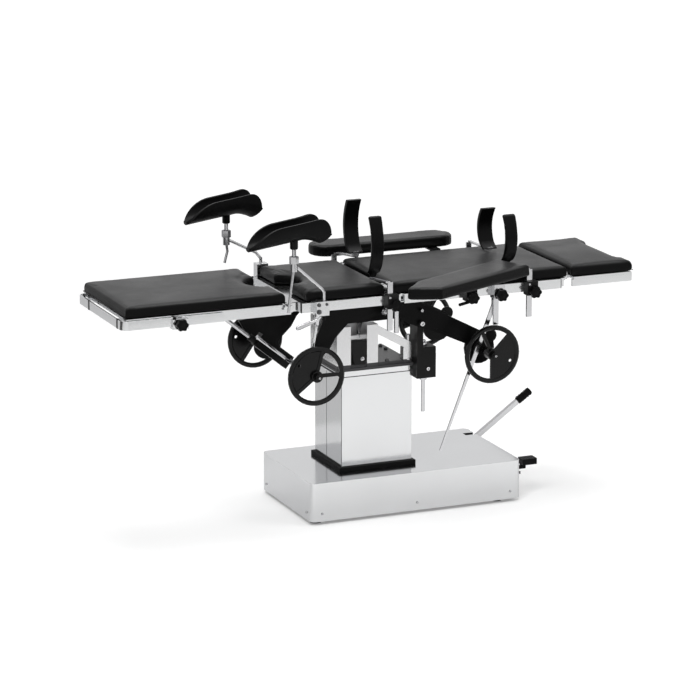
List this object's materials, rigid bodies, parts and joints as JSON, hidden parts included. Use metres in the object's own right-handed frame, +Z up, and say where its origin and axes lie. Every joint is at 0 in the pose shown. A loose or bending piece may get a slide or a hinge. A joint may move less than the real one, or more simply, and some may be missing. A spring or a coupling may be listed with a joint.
{
  "type": "hydraulic operating table",
  "caption": "Operating table on a hydraulic column with a box base, hinged padded sections, side handwheels, rail clamps, body supports, arm boards and leg crutches.",
  "frame": {"origin": "on the floor under the middle of the part's floor plan, its height at the foot pads' undersides", "axes": "+X from the foot end to the head end, +Y away from the side with the slanted arm board, +Z up"},
  "size_m": [2.08, 1.027, 1.1969],
  "materials": {
    "stainless": "brushed",
    "chrome": "polished",
    "cast_grey": "satin",
    "black_paint": "satin",
    "black_plastic": "satin",
    "black_vinyl": "satin",
    "rubber": "matte"
  },
  "bodies": {
    "base": {"base_casting": "cast_grey", "base_cover": "stainless", "column_gasket": "rubber", "column_outer_cover": "stainless", "lift_cylinder": "cast_grey", "pump_body": "cast_grey"},
    "pump_lever": {"pump_lever": "chrome", "pump_lever_pad": "rubber"},
    "release_pedal": {"release_pedal": "black_plastic"},
    "column": {"column_inner_cover": "stainless", "column_yoke": "cast_grey"},
    "cross": {"tilt_cross": "cast_grey", "tilt_jack_housing": "black_paint"},
    "jack_screw": {"tilt_screw": "chrome"},
    "table": {"main_frame": "stainless", "seat_cushion": "black_vinyl", "side_plate_near": "black_paint", "side_plate_far": "black_paint", "hip_clamp_near": "black_paint", "crutch_clamp_near": "cast_grey", "crutch_clamp_far": "cast_grey"},
    "leg_wheels": {"leg_wheel_shaft": "chrome", "leg_wheel_near": "black_plastic", "leg_wheel_far": "black_plastic"},
    "back_wheels": {"back_wheel_shaft": "chrome", "back_wheel_near": "black_plastic", "back_wheel_far": "black_plastic"},
    "stay_outer": {"stay_sleeve": "black_paint"},
    "stay_inner": {"stay_rod": "chrome"},
    "leg_section": {"leg_frame": "stainless", "leg_cushion": "black_vinyl", "leg_end_rail": "stainless"},
    "leg_knob": {"leg_rail_knob": "black_plastic"},
    "back_section": {"back_frame": "stainless", "back_cushion": "black_vinyl", "shoulder_clamp_near": "black_paint", "shoulder_clamp_far": "black_paint", "hip_clamp_far": "black_paint", "arm_clamp_near": "chrome", "arm_stay_clamp": "black_paint", "arm_bracket_far": "black_paint"},
    "head_section": {"head_frame": "stainless", "head_cushion": "black_vinyl"},
    "hip_knob": {"hip_knob_near": "black_plastic"},
    "arm_knob": {"arm_knob_near": "black_plastic"},
    "arm_stay_knob": {"arm_stay_knob": "black_plastic"},
    "shoulder_knob": {"shoulder_knob_near": "black_plastic"},
    "hip_near": {"hip_post_near": "chrome", "hip_pad_near": "black_vinyl"},
    "hip_far": {"hip_support_far": "black_vinyl"},
    "shoulder_near": {"shoulder_post_near": "chrome", "shoulder_pad_near": "black_vinyl"},
    "shoulder_far": {"shoulder_support_far": "black_vinyl"},
    "arm_near": {"arm_pad_near": "black_vinyl"},
    "arm_far": {"arm_pad_far": "black_vinyl"},
    "bar": {"hanging_bar": "chrome"},
    "crutch_near": {"crutch_rod_near": "chrome"},
    "crutch_near_rest": {"crutch_pad_near": "black_plastic"},
    "crutch_far": {"crutch_rod_far": "chrome"},
    "crutch_far_rest": {"crutch_pad_far": "black_plastic"}
  },
  "joints": [
    {"name": "lift", "type": "slide", "parent": "base", "child": "column", "axis": [0, 0, 1], "range_m": [0, 0.25]},
    {"name": "lateral_tilt", "type": "hinge", "parent": "column", "child": "cross", "pos_m": [0.015, 0.08347, 0.7], "axis": [-1, 0, 0], "range_deg": [-15, 15]},
    {"name": "trend_tilt", "type": "hinge", "parent": "cross", "child": "table", "pos_m": [0.015, 0.08347, 0.79], "axis": [0, 1, 0], "range_deg": [-25, 25]},
    {"name": "jack_screw_turn", "type": "hinge", "parent": "cross", "child": "jack_screw", "pos_m": [0.207, -0.04753, 0.504], "axis": [0, 0, 1], "range_deg": [-370, 370]},
    {"name": "back_tilt", "type": "hinge", "parent": "table", "child": "back_section", "pos_m": [0.015, 0.08347, 0.885], "axis": [0, -1, 0], "range_deg": [-10, 75]},
    {"name": "head_tilt", "type": "hinge", "parent": "back_section", "child": "head_section", "pos_m": [0.768, 0.08347, 0.876], "axis": [0, -1, 0], "range_deg": [-30, 35]},
    {"name": "leg_tilt", "type": "hinge", "parent": "table", "child": "leg_section", "pos_m": [-0.375, 0.08347, 0.845], "axis": [0, -1, 0], "range_deg": [-10, 45]},
    {"name": "stay_swing", "type": "hinge", "parent": "table", "child": "stay_outer", "pos_m": [-0.306, 0.08347, 0.597], "axis": [0, -1, 0], "range_deg": [-5, 20]},
    {"name": "stay_slide", "type": "slide", "parent": "stay_outer", "child": "stay_inner", "axis": [-0.7766, 0, 0.63], "range_m": [-0.15, 0.035]},
    {"name": "leg_wheels_turn", "type": "hinge", "parent": "table", "child": "leg_wheels", "pos_m": [-0.306, 0.08347, 0.597], "axis": [0, -1, 0], "range_deg": [-90, 370]},
    {"name": "back_wheels_turn", "type": "hinge", "parent": "table", "child": "back_wheels", "pos_m": [0.411, 0.08347, 0.611], "axis": [0, -1, 0], "range_deg": [-90, 610]},
    {"name": "pump_lever_turn", "type": "hinge", "parent": "base", "child": "pump_lever", "pos_m": [0.505, 0.25347, 0.101], "axis": [0, 1, 0], "range_deg": [0, 18], "stiffness_Nm_per_rad": 6, "springref_deg": -25.78},
    {"name": "pedal_turn", "type": "hinge", "parent": "base", "child": "release_pedal", "pos_m": [0.545, -0.11653, 0.12], "axis": [0, 1, 0], "range_deg": [0, 10], "stiffness_Nm_per_rad": 2, "springref_deg": -11.46},
    {"name": "leg_rail_knob_turn", "type": "hinge", "parent": "leg_section", "child": "leg_knob", "pos_m": [-0.816, -0.16683, 0.831], "axis": [0, 1, 0], "range_deg": [-180, 180]},
    {"name": "hip_knob_turn", "type": "hinge", "parent": "table", "child": "hip_knob", "pos_m": [0.023, -0.16853, 0.831], "axis": [0, 1, 0], "range_deg": [-180, 180]},
    {"name": "arm_knob_turn", "type": "hinge", "parent": "back_section", "child": "arm_knob", "pos_m": [0.459, -0.16853, 0.831], "axis": [0, 1, 0], "range_deg": [-180, 180]},
    {"name": "arm_stay_knob_turn", "type": "hinge", "parent": "back_section", "child": "arm_stay_knob", "pos_m": [0.339, -0.16853, 0.831], "axis": [0, 1, 0], "range_deg": [-180, 180]},
    {"name": "shoulder_knob_turn", "type": "hinge", "parent": "back_section", "child": "shoulder_knob", "pos_m": [0.598, -0.16853, 0.831], "axis": [0, 1, 0], "range_deg": [-180, 180]},
    {"name": "hip_near_slide", "type": "slide", "parent": "table", "child": "hip_near", "axis": [0, 0, 1], "range_m": [-0.002, 0.11]},
    {"name": "hip_far_slide", "type": "slide", "parent": "back_section", "child": "hip_far", "axis": [0, 0, 1], "range_m": [-0.002, 0.11]},
    {"name": "shoulder_near_slide", "type": "slide", "parent": "back_section", "child": "shoulder_near", "axis": [0, 0, 1], "range_m": [-0.002, 0.11]},
    {"name": "shoulder_far_slide", "type": "slide", "parent": "back_section", "child": "shoulder_far", "axis": [0, 0, 1], "range_m": [-0.002, 0.11]},
    {"name": "arm_near_swing", "type": "hinge", "parent": "back_section", "child": "arm_near", "pos_m": [0.446, -0.18103, 0.9115], "axis": [0, 0, 1], "range_deg": [-15, 30]},
    {"name": "arm_far_swing", "type": "hinge", "parent": "back_section", "child": "arm_far", "pos_m": [0.439, 0.44347, 0.897], "axis": [0, 0, 1], "range_deg": [-80, 0]},
    {"name": "bar_swing", "type": "hinge", "parent": "back_section", "child": "bar", "pos_m": [0.446, -0.17333, 0.8], "axis": [0, 1, 0], "range_deg": [-12, 70]},
    {"name": "crutch_near_swing", "type": "hinge", "parent": "table", "child": "crutch_near", "pos_m": [-0.255, -0.18103, 0.87], "axis": [0, 0, 1], "range_deg": [0, 30]},
    {"name": "crutch_far_swing", "type": "hinge", "parent": "table", "child": "crutch_far", "pos_m": [-0.298, 0.34797, 0.908], "axis": [0, 0, 1], "range_deg": [-30, 0]},
    {"name": "crutch_near_turn", "type": "hinge", "parent": "crutch_near", "child": "crutch_near_rest", "pos_m": [-0.374, -0.18103, 1.046], "axis": [0, 0, 1], "range_deg": [-20, 20]},
    {"name": "crutch_far_turn", "type": "hinge", "parent": "crutch_far", "child": "crutch_far_rest", "pos_m": [-0.438, 0.34797, 1.046], "axis": [0, 0, 1], "range_deg": [-20, 20]}
  ],
  "couplings": [
    {"joint": "jack_screw_turn", "follows": "lateral_tilt", "ratio": 24},
    {"joint": "stay_swing", "follows": "leg_tilt", "ratio": 0.4005},
    {"joint": "stay_slide", "follows": "leg_tilt", "m_per_rad": -0.1834},
    {"joint": "leg_wheels_turn", "follows": "leg_tilt", "ratio": 8},
    {"joint": "back_wheels_turn", "follows": "back_tilt", "ratio": 8},
    {"joint": "bar_swing", "follows": "back_tilt", "ratio": 0.9}
  ]
}
